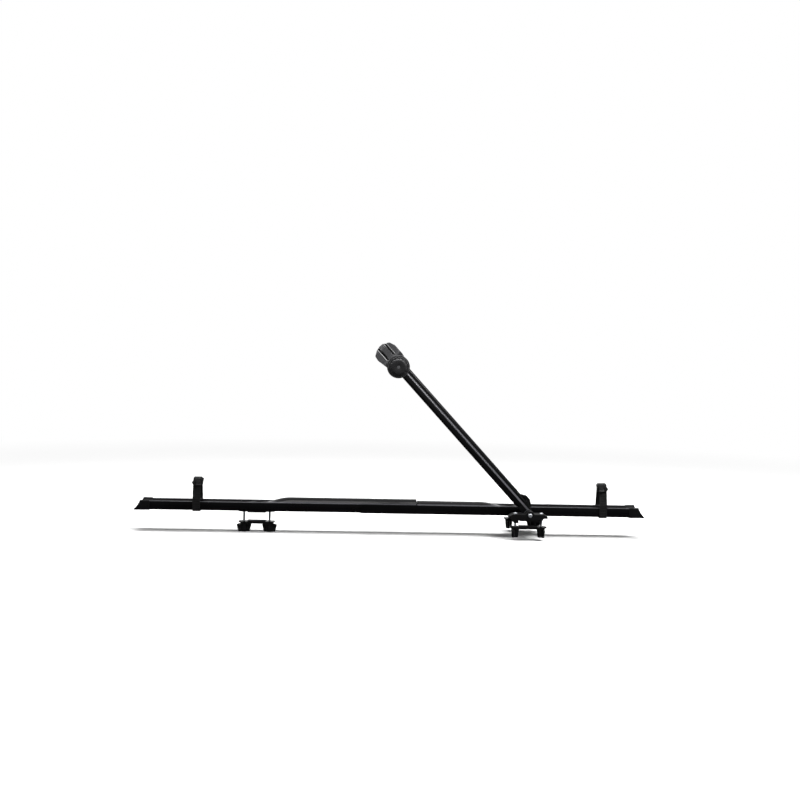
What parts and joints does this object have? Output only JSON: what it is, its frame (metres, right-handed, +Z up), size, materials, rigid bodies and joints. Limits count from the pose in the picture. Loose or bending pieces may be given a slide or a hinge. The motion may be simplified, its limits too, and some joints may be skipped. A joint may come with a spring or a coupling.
{
  "type": "roof bike carrier",
  "caption": "Roof bike carrier: a wheel rail clamped to crossbars, a hinged arm with a knob-tightened frame clamp, and buckled wheel straps.",
  "frame": {"origin": "on top of the front crossbar, at the middle of the saddle's rubber seat, under the rail's middle line", "axes": "+X along the rail towards the end beyond the arm's pivot, +Y away from the arm's side, +Z up"},
  "size_m": [1.358, 0.201, 0.5111],
  "materials": {
    "rail_paint": "gloss black powder coat on pressed steel",
    "arm_paint": "gloss black powder coat on steel tube",
    "plate_paint": "black coated steel",
    "saddle_moulding": "textured glass-filled moulding",
    "cap_plastic": "satin",
    "pad_rubber": "matt",
    "liner_rubber": "matt",
    "zinc_steel": "bright zinc",
    "insert_brass": "machined",
    "knob_plastic": "satin",
    "clamp_plastic": "fine texture",
    "clamp_knob_plastic": "satin",
    "lock_metal": "satin",
    "bush_plastic": "natural nylon",
    "strap_rubber": "satin",
    "buckle_plastic": "satin"
  },
  "bodies": {
    "rail": {"rear_rail": "rail_paint", "front_rail": "rail_paint", "rail_bolts": "zinc_steel", "rail_nuts": "zinc_steel", "rear_end_cap": "cap_plastic", "front_end_cap": "cap_plastic", "front_saddle": "saddle_moulding", "front_seat_pads": "pad_rubber", "front_saddle_screws": "zinc_steel", "front_saddle_nuts": "zinc_steel", "front_clamp_bolts": "zinc_steel", "rear_saddle": "plate_paint", "rear_seat_pad": "pad_rubber", "rear_clamp_bolts": "zinc_steel", "pivot_bolt": "zinc_steel", "pivot_nut": "zinc_steel", "pivot_washers": "zinc_steel"},
    "arm": {"arm_tube": "arm_paint", "arm_foot": "arm_paint", "arm_foot_pin": "arm_paint", "pivot_bush": "bush_plastic", "clamp_head": "clamp_plastic", "near_jaw_liners": "liner_rubber", "guide_pin": "zinc_steel"},
    "clamp_knob": {"clamp_knob": "clamp_knob_plastic", "clamp_bolt": "zinc_steel"},
    "lock": {"lock_barrel": "lock_metal"},
    "far_jaw": {"far_jaw": "clamp_plastic", "far_jaw_liner": "liner_rubber", "far_jaw_nut": "zinc_steel"},
    "near_plate": {"near_clamp_plate": "plate_paint", "near_clamp_pad": "pad_rubber"},
    "near_left_knob": {"near_left_knob": "knob_plastic", "near_left_insert": "insert_brass"},
    "near_right_knob": {"near_right_knob": "knob_plastic", "near_right_insert": "insert_brass"},
    "far_plate": {"far_clamp_plate": "plate_paint", "far_clamp_pad": "pad_rubber"},
    "far_left_knob": {"far_left_knob": "knob_plastic", "far_left_insert": "insert_brass"},
    "far_right_knob": {"far_right_knob": "knob_plastic", "far_right_insert": "insert_brass"},
    "rear_plate": {"rear_clamp_plate": "plate_paint", "rear_clamp_pad": "pad_rubber"},
    "rear_left_knob": {"rear_left_knob": "knob_plastic", "rear_left_insert": "insert_brass"},
    "rear_right_knob": {"rear_right_knob": "knob_plastic", "rear_right_insert": "insert_brass"},
    "rear_strap": {"rear_strap": "strap_rubber", "rear_buckle": "buckle_plastic", "rear_lever_pin": "zinc_steel"},
    "rear_lever": {"rear_lever": "buckle_plastic"},
    "front_strap": {"front_strap": "strap_rubber", "front_buckle": "buckle_plastic", "front_lever_pin": "zinc_steel"},
    "front_lever": {"front_lever": "buckle_plastic"}
  },
  "joints": [
    {"name": "arm_pivot", "type": "hinge", "parent": "rail", "child": "arm", "pos_m": [0.003, -0.0504, 0.015], "axis": [0, 1, 0], "range_deg": [-40.4, 52]},
    {"name": "clamp_knob_turn", "type": "hinge", "parent": "arm", "child": "clamp_knob", "pos_m": [-0.34762, -0.0777, 0.3963], "axis": [0, 1, 0], "range_deg": [-1976, 1976]},
    {"name": "lock_turn", "type": "hinge", "parent": "clamp_knob", "child": "lock", "pos_m": [-0.34762, -0.0857, 0.3963], "axis": [0, 1, 0], "range_deg": [0, 90]},
    {"name": "far_jaw_slide", "type": "slide", "parent": "arm", "child": "far_jaw", "axis": [0, 1, 0], "range_m": [-0.022, 0.022]},
    {"name": "near_plate_slide", "type": "slide", "parent": "rail", "child": "near_plate", "axis": [0, 0, 1], "range_m": [-0.012, 0.007]},
    {"name": "near_left_turn", "type": "hinge", "parent": "near_plate", "child": "near_left_knob", "pos_m": [-0.034, -0.0799, -0.0228], "axis": [0, 0, 1], "range_deg": [-4320, 2520]},
    {"name": "near_right_turn", "type": "hinge", "parent": "near_plate", "child": "near_right_knob", "pos_m": [0.034, -0.0799, -0.0228], "axis": [0, 0, 1], "range_deg": [-4320, 2520]},
    {"name": "far_plate_slide", "type": "slide", "parent": "rail", "child": "far_plate", "axis": [0, 0, 1], "range_m": [-0.012, 0.007]},
    {"name": "far_left_turn", "type": "hinge", "parent": "far_plate", "child": "far_left_knob", "pos_m": [-0.034, 0.0799, -0.0228], "axis": [0, 0, 1], "range_deg": [-4320, 2520]},
    {"name": "far_right_turn", "type": "hinge", "parent": "far_plate", "child": "far_right_knob", "pos_m": [0.034, 0.0799, -0.0228], "axis": [0, 0, 1], "range_deg": [-4320, 2520]},
    {"name": "rear_plate_slide", "type": "slide", "parent": "rail", "child": "rear_plate", "axis": [0, 0, 1], "range_m": [-0.012, 0.007]},
    {"name": "rear_left_turn", "type": "hinge", "parent": "rear_plate", "child": "rear_left_knob", "pos_m": [-0.751, 0, -0.0308], "axis": [0, 0, 1], "range_deg": [-4320, 2520]},
    {"name": "rear_right_turn", "type": "hinge", "parent": "rear_plate", "child": "rear_right_knob", "pos_m": [-0.683, 0, -0.0308], "axis": [0, 0, 1], "range_deg": [-4320, 2520]},
    {"name": "rear_strap_slide", "type": "slide", "parent": "rail", "child": "rear_strap", "axis": [1, 0, 0], "range_m": [-0.11, 0.085]},
    {"name": "rear_lever_turn", "type": "hinge", "parent": "rear_strap", "child": "rear_lever", "pos_m": [-0.875, -0.02639, 0.0893], "axis": [-1, 0, 0], "range_deg": [0, 110]},
    {"name": "front_strap_slide", "type": "slide", "parent": "rail", "child": "front_strap", "axis": [1, 0, 0], "range_m": [-0.135, 0.055]},
    {"name": "front_lever_turn", "type": "hinge", "parent": "front_strap", "child": "front_lever", "pos_m": [0.205, -0.02648, 0.08942], "axis": [-1, 0, 0], "range_deg": [0, 110]}
  ],
  "couplings": [
    {"joint": "far_jaw_slide", "follows": "clamp_knob_turn", "m_per_rad": -0.00063662},
    {"joint": "near_left_turn", "follows": "near_plate_slide", "rad_per_m": 6283.2},
    {"joint": "near_right_turn", "follows": "near_plate_slide", "rad_per_m": 6283.2},
    {"joint": "far_left_turn", "follows": "far_plate_slide", "rad_per_m": 6283.2},
    {"joint": "far_right_turn", "follows": "far_plate_slide", "rad_per_m": 6283.2},
    {"joint": "rear_left_turn", "follows": "rear_plate_slide", "rad_per_m": 6283.2},
    {"joint": "rear_right_turn", "follows": "rear_plate_slide", "rad_per_m": 6283.2}
  ]
}
